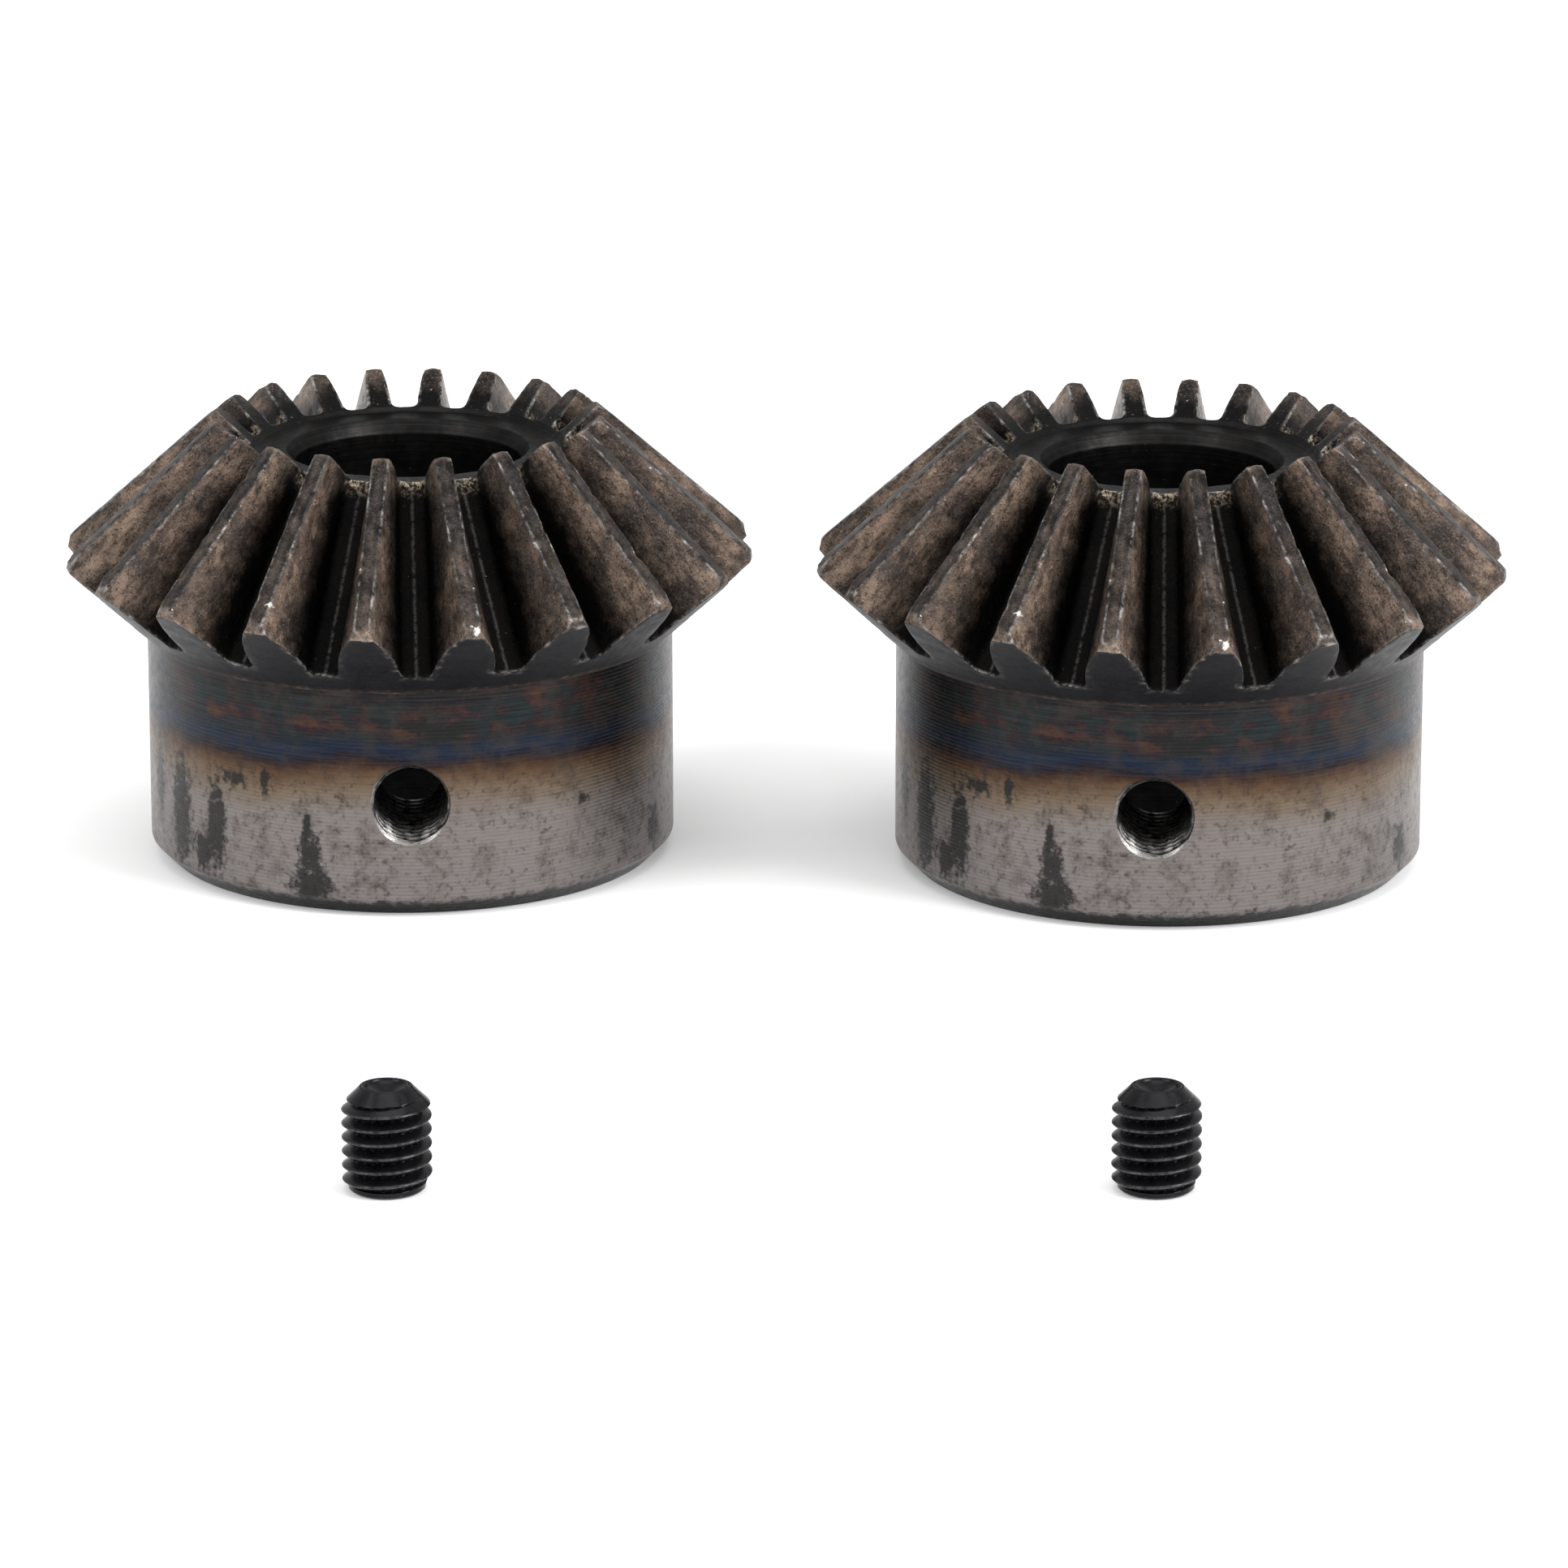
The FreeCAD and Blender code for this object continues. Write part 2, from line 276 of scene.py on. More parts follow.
def down_cone(top, corner):
    """Rows of points from a top row straight down a cone to the circle of a corner of the blank."""
    radius = np.hypot(top[:, 0], top[:, 1])
    azimuth = np.arctan2(top[:, 0], -top[:, 1])
    share = np.linspace(0, 1, CONE_STEPS + 1)[:, None]
    return turned(
        radius + share * (corner[0] - radius), top[:, 2] + share * (corner[1] - top[:, 2]), azimuth
    )


def turned_profile(corners, spacing):
    """The profile through the given corners, with points no further apart than spacing."""
    points = [np.array(corners[0], float)]
    for start, end in zip(corners, corners[1:]):
        steps = max(1, math.ceil(math.dist(start, end) / spacing))
        points += [np.add(start, np.subtract(end, start) * i / steps) for i in range(1, steps + 1)]
    return np.array(points)


def half_sector():
    """Half of one tooth space and half of one tooth, as a list of (grid of points, material)."""
    rows = outline_stations()
    fillet_start = FLOOR_STEPS
    facet_start = FLOOR_STEPS + FILLET_STEPS + FLANK_STEPS
    large = bisect(
        lambda cone: past_large_end(space_point(rows, cone)), np.full(rows.shape, 20.0), 32.0
    )
    small = bisect(
        lambda cone: inside_small_end(space_point(rows, cone)), np.full(rows.shape, 13.0), 20.0
    )
    share = np.linspace(0, 1, LENGTH_STEPS + 1)
    cone = small[:, None] + share[None, :] * (large - small)[:, None]
    space = space_point(rows[:, None], cone)
    large_rim, small_rim = space[:, -1], space[:, 0]
    large_petal = across_tooth(large_rim[fillet_start:facet_start + 1])
    small_petal = across_tooth(small_rim[fillet_start:])
    large_columns = np.concatenate([large_rim[:fillet_start], large_petal[0]])
    small_columns = np.concatenate([small_rim[:fillet_start], small_petal[0]])
    grids = [
        (space, TOOTH),
        (across_tooth(space[-1]), TOOTH),
        (across_tooth(large_rim[facet_start:]), TOOTH),
        (large_petal, CONE),
        (small_petal, TOOTH),
        (down_cone(large_columns, HUB_CORNER), CONE),
        (down_cone(small_columns, NOSE_RIM), NOSE),
    ]
    azimuths = [np.arctan2(c[:, 0], -c[:, 1]) for c in (large_columns, small_columns)]
    outside = turned_profile([HUB_CORNER, HUB_EDGE, HUB_FOOT, BORE_FOOT], 0.42)
    inside = turned_profile([BORE_FOOT, CHAMFER_FOOT, CHAMFER_TOP, NOSE_RIM], 0.6)
    for profile, start, end, material in ((outside, 0, 0.5, HUB), (inside, 0.5, 1, NOSE)):
        change = np.linspace(start, end, len(profile))[:, None]
        azimuth = azimuths[0] + change * (azimuths[1] - azimuths[0])
        grids.append((turned(profile[:, :1], profile[:, 1:], azimuth), material))
    return grids


def gear_blank_mesh():
    """The whole gear without its tapped hole: every half sector mirrored and turned, then welded."""
    points, faces, materials = [], [], []
    offset = 0
    grids = half_sector()
    for tooth in range(TEETH):
        turn = axis_turn(2 * HALF_PITCH * tooth)
        for mirror in (1, -1):
            for grid, material in grids:
                rows, columns = grid.shape[:2]
                points.append((grid.reshape(-1, 3) * (mirror, 1, 1)) @ turn.T)
                index = offset + np.arange(rows * columns).reshape(rows, columns)
                quads = np.stack(
                    [index[:-1, :-1], index[:-1, 1:], index[1:, 1:], index[1:, :-1]], axis=-1
                ).reshape(-1, 4)
                faces.append(quads)
                materials.append(np.full(len(quads), material))
                offset += rows * columns
    mesh = bpy.data.meshes.new("gear_blank")
    mesh.from_pydata(np.concatenate(points).tolist(), [], np.concatenate(faces).tolist())
    mesh.polygons.foreach_set("material_index", np.concatenate(materials).astype(np.int32))
    weld(mesh, 0.002)
    return mesh


def weld(mesh, distance):
    """Joins points that coincide, drops what collapses, and turns every face outwards."""
    edit = bmesh.new()
    edit.from_mesh(mesh)
    bmesh.ops.remove_doubles(edit, verts=edit.verts, dist=distance)
    bmesh.ops.dissolve_degenerate(edit, edges=edit.edges, dist=distance / 10)
    bmesh.ops.recalc_face_normals(edit, faces=edit.faces)
    edit.to_mesh(mesh)
    edit.free()


def evaluated(holder):
    """A new mesh: the holder's mesh with its modifiers applied."""
    bpy.context.view_layer.update()
    graph = bpy.context.evaluated_depsgraph_get()
    return bpy.data.meshes.new_from_object(
        holder.evaluated_get(graph), preserve_all_data_layers=True, depsgraph=graph
    )


def scratch_object(mesh, name):
    """A temporary object that carries modifiers."""
    holder = bpy.data.objects.new(name, mesh)
    bpy.context.scene.collection.objects.link(holder)
    while len(mesh.materials) <= THREAD:
        mesh.materials.append(None)
    return holder


def coordinates(mesh):
    """The mesh's points as an array."""
    flat = np.empty(len(mesh.vertices) * 3)
    mesh.vertices.foreach_get("co", flat)
    return flat.reshape(-1, 3)


def point_attribute(mesh, name, values):
    """Stores one number per point, for the materials to read."""
    layer = mesh.attributes.get(name) or mesh.attributes.new(name, "FLOAT", "POINT")
    layer.data.foreach_set("value", np.asarray(values, np.float32))


def round_edges(mesh, width):
    """Rounds every sharp edge, and marks the rounded strips in the point attribute wear."""
    holder = scratch_object(mesh, "rounding")
    bevel = holder.modifiers.new("rounding", "BEVEL")
    bevel.width = width
    bevel.segments = ROUNDING_SEGMENTS
    bevel.limit_method = "ANGLE"
    bevel.angle_limit = SHARP_ANGLE
    bevel.material = THREAD + 1
    mesh.materials.append(None)
    marked = evaluated(holder)
    index = np.empty(len(marked.polygons), np.int32)
    marked.polygons.foreach_get("material_index", index)
    bevel.material = -1
    rounded = evaluated(holder)
    worn = np.zeros(len(rounded.vertices))
    for face in np.flatnonzero(index == THREAD + 1):
        worn[list(marked.polygons[face].vertices)] = 1
    point_attribute(rounded, "wear", worn)
    bpy.data.objects.remove(holder)
    bpy.data.meshes.remove(marked)
    return rounded


def thread_groove(phase):
    """Depth of a V thread, from 0 at its flat crest to 1 at its flat root; phase is in turns."""
    distance = np.abs((phase + 0.5) % 1 - 0.5) * 2
    return np.clip((distance - 0.12) / 0.76, 0, 1)


def tapped_hole_cutter(height):
    """A closed threaded plug along the hole, with a 45 degree flare where it leaves the hub."""
    columns = HOLE_COLUMNS
    depths = np.arange(HOLE_START, HUB_EDGE[0] + 0.6, THREAD_PITCH / 12)
    angles = np.arange(columns) * 2 * math.pi / columns
    depth, angle = np.meshgrid(depths, angles, indexing="ij")
    groove = thread_groove(depth / THREAD_PITCH - angle / (2 * math.pi))
    radius = HOLE_MAJOR - (HOLE_MAJOR - HOLE_MINOR) * groove
    radius = np.maximum(radius, HOLE_MINOR + HOLE_CHAMFER + depth - HUB_EDGE[0])
    points = np.stack([radius * np.cos(angle), -depth, height + radius * np.sin(angle)], -1)
    faces = []
    for row in range(len(depths) - 1):
        for column in range(columns):
            after = (column + 1) % columns
            first, second = row * columns, (row + 1) * columns
            faces.append([first + column, first + after, second + after, second + column])
    last = (len(depths) - 1) * columns
    faces.append([last + column for column in range(columns)])
    faces.append(list(range(columns))[::-1])
    turn = axis_turn(HOLE_OFFSET)
    mesh = bpy.data.meshes.new("tapped_hole_cutter")
    mesh.from_pydata((points.reshape(-1, 3) @ turn.T).tolist(), [], faces)
    mesh.polygons.foreach_set("material_index", np.full(len(faces), THREAD, np.int32))
    weld(mesh, 0.0005)
    return mesh


def cut(mesh, cutter):
    """The mesh with the cutter taken away."""
    body, tool = scratch_object(mesh, "body"), scratch_object(cutter, "tool")
    boolean = body.modifiers.new("cut", "BOOLEAN")
    boolean.operation = "DIFFERENCE"
    boolean.solver = "EXACT"
    boolean.object = tool
    result = evaluated(body)
    for holder in (body, tool):
        bpy.data.objects.remove(holder)
    return result


def knock_edges(mesh, seed):
    """Small dents and chips along the tooth edges and a slight unevenness of the toothed surface.

    The point attribute bare is high where a dent or chip has knocked the scale off.
    """
    points = coordinates(mesh)
    rng = np.random.default_rng(seed)
    flat_normals = np.empty(len(mesh.vertices) * 3)
    mesh.vertex_normals.foreach_get("vector", flat_normals)
    normals = flat_normals.reshape(-1, 3)
    toothed = points[:, 2] > HUB_CORNER[1] + 0.4
    uneven = np.array([
        noise.noise(Vector(p) * 1.1) + 0.6 * noise.noise(Vector(p) * 2.6) if use else 0.0
        for p, use in zip(points, toothed)
    ])
    moved = points - normals * (np.clip(uneven + 0.25, 0, None) * UNEVENNESS)[:, None]
    bare = np.zeros(len(points))

    def dent(tooth, side, along, size, depth, brightness):
        azimuth = 2 * HALF_PITCH * (tooth + 0.5)
        radius, height = np.add(FACET_HIGH, np.subtract(NOSE_TIP, FACET_HIGH) * along)
        centre = turned(radius, height, azimuth + side * HALF_LAND / radius)
        distance = np.linalg.norm(points - centre, axis=1) / size
        inwards = -turned(math.sqrt(0.5), math.sqrt(0.5), azimuth)
        push = np.clip(1 - distance**2, 0, None) ** 2
        moved[:] += depth * push[:, None] * inwards
        bare[:] = np.maximum(bare, brightness * push)

    for _ in range(EDGE_DENTS):
        tooth, side, along = rng.integers(TEETH), rng.choice((-1, 1)), rng.random()
        size = rng.uniform(0.18, 0.5)
        dent(tooth, side, along, size, size * rng.uniform(0.12, 0.4), rng.random())
    for tooth in range(TEETH):
        for side in (-1, 1):
            for along in (0, 1):
                dent(tooth, side, along, rng.uniform(0.5, 0.8), rng.uniform(0.05, 0.2), 0.45)
    for tooth, side, along in FRESH_CHIPS:
        dent(tooth, side, along, CHIP_SIZE, CHIP_DEPTH, 1.5)
    point_attribute(mesh, "bare", bare)
    mesh.vertices.foreach_set("co", moved.ravel())
    mesh.update()


def mark_teeth(mesh):
    """Point attributes for the materials, from a point's place between, on or along the teeth.

    depth is 0 on the tooth tops and 1 on the floors, floor_line is the middle of a floor, small_end is
    1 on the small end's cone, and tooth_place is (side, height above the pitch cone, cone distance).
    """
    points = coordinates(mesh)
    azimuth = np.arctan2(points[:, 0], -points[:, 1])
    sector = np.round(azimuth / (2 * HALF_PITCH))
    radius = np.hypot(points[:, 0], points[:, 1])
    side = radius * np.sin(azimuth - sector * 2 * HALF_PITCH)
    outwards = np.sqrt(radius**2 - side**2)
    below_apex = APEX_HEIGHT - points[:, 2]
    cone = (outwards + below_apex) * math.sqrt(0.5)
    height = (outwards - below_apex) * math.sqrt(0.5)
    share = length_share(cone)
    floor = mix(WALL_HEIGHT, share) - mix(ROOT_FILLET, share)
    top = mix(TIP_HEIGHT, share)
    depth = np.clip((top - height) / (top - floor), 0, 1)
    point_attribute(mesh, "depth", depth)
    near_middle = np.clip(1 - np.abs(side) / FLOOR_LINE_HALF, 0, 1)
    point_attribute(mesh, "floor_line", np.where(depth > 0.93, near_middle, 0))
    along = np.subtract(NOSE_TIP, NOSE_RIM) / math.dist(NOSE_TIP, NOSE_RIM)
    behind = (radius - NOSE_RIM[0]) * along[1] - (points[:, 2] - NOSE_RIM[1]) * along[0]
    point_attribute(mesh, "small_end", np.clip(1 - np.abs(behind) / SMALL_END_REACH, 0, 1))
    apart = 40 * sector     # so that no two teeth share a pattern
    own = mesh.attributes.new("tooth_place", "FLOAT_VECTOR", "POINT")
    own.data.foreach_set("vector", np.stack([side + apart, height, cone], -1).ravel())


def mark_thread(mesh, hole_height):
    """Point attribute crest for the tapped hole: 1 on thread crests and rim, 0 in the grooves."""
    points = coordinates(mesh)
    side = points[:, 0] + points[:, 1] * math.tan(HOLE_OFFSET)
    radius = np.hypot(side, points[:, 2] - hole_height)
    crest = np.clip((HOLE_MAJOR - radius) / (HOLE_MAJOR - HOLE_MINOR), 0, 1)
    at_rim = np.hypot(points[:, 0], points[:, 1]) > HUB_EDGE[0] - HOLE_CHAMFER / 2
    point_attribute(mesh, "crest", np.where(at_rim, 1, crest))


def finish_mesh(mesh, name, smooth_below):
    """Scales a finished mesh to metres and shades it smooth, with creases above an angle.

    The materials read the point attribute own_place, in millimetres, which stays with the surface
    when a copy of the mesh is turned.
    """
    mesh.name = name
    points = coordinates(mesh)
    place = mesh.attributes.new("own_place", "FLOAT_VECTOR", "POINT")
    place.data.foreach_set("vector", points.ravel())
    mesh.vertices.foreach_set("co", (points * MM).ravel())
    mesh.shade_smooth()
    mesh.set_sharp_from_angle(angle=math.radians(smooth_below))
    mesh.update()
    return mesh


def gear_mesh(hole_height):
    """One gear, worn, with its tapped hole."""
    mesh = round_edges(gear_blank_mesh(), EDGE_ROUNDING)
    knock_edges(mesh, seed=20)
    mesh = cut(mesh, tapped_hole_cutter(hole_height))
    mark_teeth(mesh)
    mark_thread(mesh, hole_height)
    return finish_mesh(mesh, "bevel_gear", smooth_below=38)


# ------------------------------------------------------------------ set screw, in its own frame
# The axis is Z and the socket end is at height 0. The cup point is on top.

SCREW_LENGTH = 6.0
SCREW_RADIUS = 2.5
SCREW_GROOVE = 0.55
SCREW_TURN = math.radians(-108)        # where the thread starts
SCREW_FOOT = 2.13                      # radius of the plain socket end
SCREW_FOOT_HEIGHT = 0.42
SCREW_FOOT_ROUNDING = 0.2
CREST_ROUNDING = 0.15                  # as a share of half a pitch
CUP_RIM = 1.35
CUP_EDGE = 1.17
CUP_DEPTH = 0.6
SOCKET_HALF = 1.25
SOCKET_DEPTH = 2.4
SCREW_COLUMNS = 144


def lathe(rows, name):
    """A closed mesh from rows of (radius, height) per column; the first and last close on the axis."""
    columns = SCREW_COLUMNS
    angle = np.arange(columns) * 2 * math.pi / columns
    points = [[0, 0, float(np.mean(rows[0][1]))]]
    for radius, height in rows:
        ring = np.stack(
            np.broadcast_arrays(radius * np.cos(angle), radius * np.sin(angle), height), -1
        )
        points += ring.tolist()
    points.append([0, 0, float(np.mean(rows[-1][1]))])
    faces = []
    for column in range(columns):
        after = (column + 1) % columns
        faces.append([0, 1 + after, 1 + column])
        for row in range(len(rows) - 1):
            first, second = 1 + row * columns, 1 + (row + 1) * columns
            faces.append([first + column, first + after, second + after, second + column])
        last = 1 + (len(rows) - 1) * columns
        faces.append([last + column, last + after, len(points) - 1])
    mesh = bpy.data.meshes.new(name)
    mesh.from_pydata(points, [], faces)
    return mesh


def screw_mesh():
    """An M5 set screw: hexagon socket below, rolled thread, cone and cup point on top."""
    columns = SCREW_COLUMNS
    angle = np.arange(columns) * 2 * math.pi / columns
    sixth = math.pi / 3
    hexagon = SOCKET_HALF / np.cos((angle % sixth) - sixth / 2)
    level = np.ones(columns)
    rows = [(0.6 * level, SOCKET_DEPTH * level)]
    for height, flare in ((SOCKET_DEPTH, 1), (0.16, 1), (0.0, 1.07)):
        rows.append((hexagon * flare, height * level))
    rows.append(((SCREW_FOOT - 0.25) * level, 0.0 * level))
    for height in np.arange(0.02, SCREW_LENGTH - 0.05, THREAD_PITCH / 22):
        phase = height / THREAD_PITCH - (angle - SCREW_TURN) / (2 * math.pi)
        from_crest = np.abs((phase + 0.5) % 1 - 0.5) * 2
        rounded = np.sqrt(from_crest**2 + CREST_ROUNDING**2) - CREST_ROUNDING
        deepest = math.hypot(1, CREST_ROUNDING) - CREST_ROUNDING
        profile = SCREW_RADIUS - SCREW_GROOVE * rounded / deepest
        top_cone = CUP_RIM + 0.06 + (SCREW_LENGTH - height)
        foot_edge = min(SCREW_FOOT, SCREW_FOOT - SCREW_FOOT_ROUNDING + height * 1.2)
        foot_cone = foot_edge + max(0, height - SCREW_FOOT_HEIGHT) * 1.3
        radius = np.minimum(np.minimum(profile, top_cone), foot_cone)
        if height < SCREW_FOOT_HEIGHT:
            radius = np.maximum(radius, foot_edge)
        rows.append((radius, height * level))
    for turn in np.linspace(0.15, 1, 6) * math.pi:
        middle = (CUP_RIM + CUP_EDGE) / 2
        half = (CUP_RIM - CUP_EDGE) / 2 + 0.03
        rows.append(((middle + half * math.cos(turn)) * level,
                     (SCREW_LENGTH - half + half * math.sin(turn)) * level))
    for share in (0.25, 0.5, 0.75, 0.95):
        rows.append((CUP_EDGE * (1 - share) * level, (SCREW_LENGTH - 0.1 - CUP_DEPTH * share) * level))
    mesh = lathe(rows, "set_screw")
    weld(mesh, 0.0005)
    points = coordinates(mesh)
    radius = np.hypot(points[:, 0], points[:, 1])
    point_attribute(mesh, "wear", np.clip((radius - SCREW_RADIUS + 0.09) / 0.09, 0, 1))
    return finish_mesh(mesh, "set_screw", smooth_below=50)


# ------------------------------------------------------------------ materials


class Surface:
    """A node material: a principled shader and short calls for the nodes in front of it."""

    def __init__(self, name, metallic, specular=0.5):
        self.material = bpy.data.materials.new(name)
        self.material.use_nodes = True
        self.nodes = self.material.node_tree.nodes
        self.links = self.material.node_tree.links
        self.shader = self.nodes["Principled BSDF"]
        self.shader.inputs["Metallic"].default_value = metallic
        self.shader.inputs["Specular IOR Level"].default_value = specular
        self.place = self.scaled((1, 1, 1))

    def add(self, kind, inputs, output, **settings):
        node = self.nodes.new(kind)
        for key, value in settings.items():
            setattr(node, key, value)
        for key, value in inputs.items():
            if isinstance(value, bpy.types.NodeSocket):
                self.links.new(value, node.inputs[key])
            else:
                node.inputs[key].default_value = value
        return node.outputs[output]

    def scaled(self, scale, attribute="own_place"):
        """The surface's own place in millimetres, stretched by a scale for each axis."""
        place = self.add("ShaderNodeAttribute", {}, "Vector", attribute_name=attribute)
        return self.add("ShaderNodeMapping", {"Vector": place, "Scale": scale}, "Vector")

    def noise(self, scale, detail=4.0, roughness=0.6, place=None, distortion=0.0):
        return self.add(
            "ShaderNodeTexNoise",
            {
                "Vector": place or self.place,
                "Scale": scale,
                "Detail": detail,
                "Roughness": roughness,
                "Distortion": distortion,
            },
            "Fac",
        )

    def math(self, operation, first, second=0.5, third=0.5):
        return self.add("ShaderNodeMath", {0: first, 1: second, 2: third}, 0, operation=operation)

    def remap(self, value, low, high, to_low=0.0, to_high=1.0):
        return self.add(
            "ShaderNodeMapRange",
            {"Value": value, "From Min": low, "From Max": high, "To Min": to_low, "To Max": to_high},
            "Result",
        )

    def blend(self, share, first, second):
        """From the first colour at share 0 to the second at share 1."""
        sockets = {"Factor": share, "A": as_colour(first), "B": as_colour(second)}
        node = self.nodes.new("ShaderNodeMix")
        node.data_type = "RGBA"
        by_type = {"Factor": 0, "A": 6, "B": 7}
        for key, value in sockets.items():
            if isinstance(value, bpy.types.NodeSocket):
                self.links.new(value, node.inputs[by_type[key]])
            else:
                node.inputs[by_type[key]].default_value = value
        return node.outputs[2]

    def ramp(self, value, stops):
        """Colours along a value: stops are (position, colour)."""
        node = self.nodes.new("ShaderNodeValToRGB")
        self.links.new(value, node.inputs["Fac"])
        elements = node.color_ramp.elements
        while len(elements) < len(stops):
            elements.new(0.5)
        for element, (position, colour) in zip(elements, stops):
            element.position = position
            element.color = as_colour(colour)
        return node.outputs["Color"]

    def attribute(self, name):
        return self.add("ShaderNodeAttribute", {}, "Fac", attribute_name=name)

    def parts(self, place=None):
        """The x, y and z of a place."""
        node = self.nodes.new("ShaderNodeSeparateXYZ")
        self.links.new(place or self.place, node.inputs[0])
        return node.outputs

    def bump(self, height, depth_mm, normal=None):
        """A bump of the given depth, over an earlier one if there is one."""
        inputs = {"Height": height, "Distance": depth_mm * MM, "Strength": 1.0}
        if normal:
            inputs["Normal"] = normal
        return self.add("ShaderNodeBump", inputs, "Normal")

    def finish(self, colour, roughness, normal):
        self.links.new(colour, self.shader.inputs["Base Color"])
        self.links.new(roughness, self.shader.inputs["Roughness"])
        self.links.new(normal, self.shader.inputs["Normal"])
        return self.material


def as_colour(value):
    """Adds the alpha to a colour given as three numbers."""
    return (*value, 1.0) if isinstance(value, tuple) and len(value) == 3 else value


def tooth_steel():
    """Cut teeth: brown-grey scale on the flanks, greyer tops, painted shade in the roots, painted
    glints in small bright specks, bright worn chips.
    """
    s = Surface("cut_tooth_steel", metallic=0.9, specular=0.3)
    depth = s.attribute("depth")
    small_end = s.attribute("small_end")
    streaks = s.noise(1.9, detail=6, roughness=0.75, place=s.scaled((1, 1, 0.25), "tooth_place"))
    broad = s.noise(0.3, detail=4)
    patches = s.noise(1.0, detail=8, roughness=0.7)
    colour = s.blend(s.remap(broad, 0.38, 0.60), (0.084, 0.066, 0.058), (0.300, 0.215, 0.160))
    colour = s.blend(s.remap(patches, 0.47, 0.64, 0, 0.75), colour, (0.055, 0.046, 0.042))
    colour = s.blend(s.remap(streaks, 0.47, 0.60, 0, 0.78), colour, (0.036, 0.028, 0.024))
    top = s.blend(s.remap(patches, 0.40, 0.56), (0.044, 0.040, 0.039), (0.010, 0.0095, 0.0095))
    colour = s.blend(s.remap(depth, 0.025, 0.06), top, colour)
    face = s.blend(s.remap(patches, 0.40, 0.56), (0.075, 0.058, 0.049), (0.020, 0.018, 0.018))
    colour = s.blend(s.remap(small_end, 0.975, 0.995), colour, face)
    grain = s.noise(7.5, detail=4, roughness=0.8)
    glints = s.remap(grain, 0.56, 0.68, 0, 0.85)
    glints = s.math("MULTIPLY", glints, s.remap(depth, 0.02, 0.08, 0.3, 1.0))
    colour = s.blend(glints, colour, (0.31, 0.255, 0.215))
    pits = s.noise(8.0, detail=3, roughness=0.7)
    colour = s.blend(s.remap(pits, 0.55, 0.65, 0, 0.92), colour, (0.012, 0.010, 0.010))
    # Painted shade: darker the deeper into a tooth space, nearly black towards the floors, with an
    # uneven edge.
    depth_shade = s.math("MULTIPLY_ADD", s.math("SUBTRACT", patches, 0.5), 0.5, depth)
    colour = s.blend(s.remap(depth_shade, 0.18, 0.68, 0, 0.98), colour, (0.004, 0.004, 0.004))
    fine = s.noise(3.2, detail=6, roughness=0.8)
    line = s.math("MULTIPLY", s.attribute("floor_line"), s.remap(fine, 0.36, 0.52))
    colour = s.blend(s.remap(line, 0.25, 0.9), colour, (0.075, 0.071, 0.068))
    at_nose = s.math("MULTIPLY", s.remap(small_end, 0.35, 0.9), s.remap(depth, 0.72, 0.86))
    at_nose = s.math("MULTIPLY", at_nose, s.remap(small_end, 0.985, 0.96))
    rubbed = s.math("MULTIPLY", at_nose, s.remap(fine, 0.49, 0.57))
    colour = s.blend(rubbed, colour, (0.42, 0.34, 0.25))
    # Painted glints: small bright specks, a few more of them towards the small end of the teeth.
    glint_specks = s.math("MULTIPLY_ADD", small_end, 0.03, s.noise(2.7, detail=5, roughness=0.85))
    colour = s.blend(s.remap(glint_specks, 0.68, 0.71), colour, (0.62, 0.59, 0.55))
    sparse = s.remap(s.noise(0.33, detail=3), 0.40, 0.60, 0.2, 1.0)
    broken = s.remap(s.noise(1.5, detail=8, roughness=0.75), 0.44, 0.62)
    worn = s.math("POWER", s.math("MULTIPLY", s.attribute("wear"), broken), 1.4)
    colour = s.blend(s.math("MULTIPLY", worn, sparse), colour, (0.40, 0.38, 0.36))
    uneven = s.math("SUBTRACT", s.noise(4.0, detail=6), 0.5)
    ragged = s.math("MULTIPLY_ADD", uneven, 4.0, s.attribute("bare"))
    colour = s.blend(s.remap(ragged, 0.95, 1.1), colour, (0.62, 0.60, 0.58))
    roughness = s.remap(s.noise(2.2, detail=5), 0.3, 0.7, 0.20, 0.44)
    normal = s.bump(grain, 0.075)
    normal = s.bump(s.noise(1.6, detail=3), 0.09, normal)
    return s.finish(colour, roughness, normal)


def cone_steel():
    """Turned back cone: smooth slate-dark oxide, rubbed a little at the tooth outlines."""
    s = Surface("oxidised_back_cone_steel", metallic=0.8, specular=0.25)
    broad = s.noise(0.5, detail=5)
    colour = s.blend(s.remap(broad, 0.35, 0.65), (0.0100, 0.0105, 0.0130), (0.017, 0.017, 0.0195))
    glint_specks = s.remap(s.noise(6.0, detail=5, roughness=0.75), 0.67, 0.75)
    colour = s.blend(glint_specks, colour, (0.13, 0.12, 0.11))
    worn = s.math("MULTIPLY", s.attribute("wear"), s.remap(s.noise(1.8, detail=6), 0.46, 0.66))
    colour = s.blend(s.math("POWER", worn, 1.6), colour, (0.20, 0.185, 0.17))
    height = s.math("MULTIPLY_ADD", s.noise(0.8, detail=4), 0.5, s.parts()[2])
    rust = s.remap(height, HUB_CORNER[1] + 0.50, HUB_CORNER[1] + 0.28, 0, 0.75)
    colour = s.blend(rust, colour, (0.050, 0.026, 0.017))
    roughness = s.remap(s.noise(1.4, detail=4), 0.3, 0.7, 0.34, 0.5)
    normal = s.bump(s.noise(3.0, detail=5), 0.012)
    return s.finish(colour, roughness, normal)


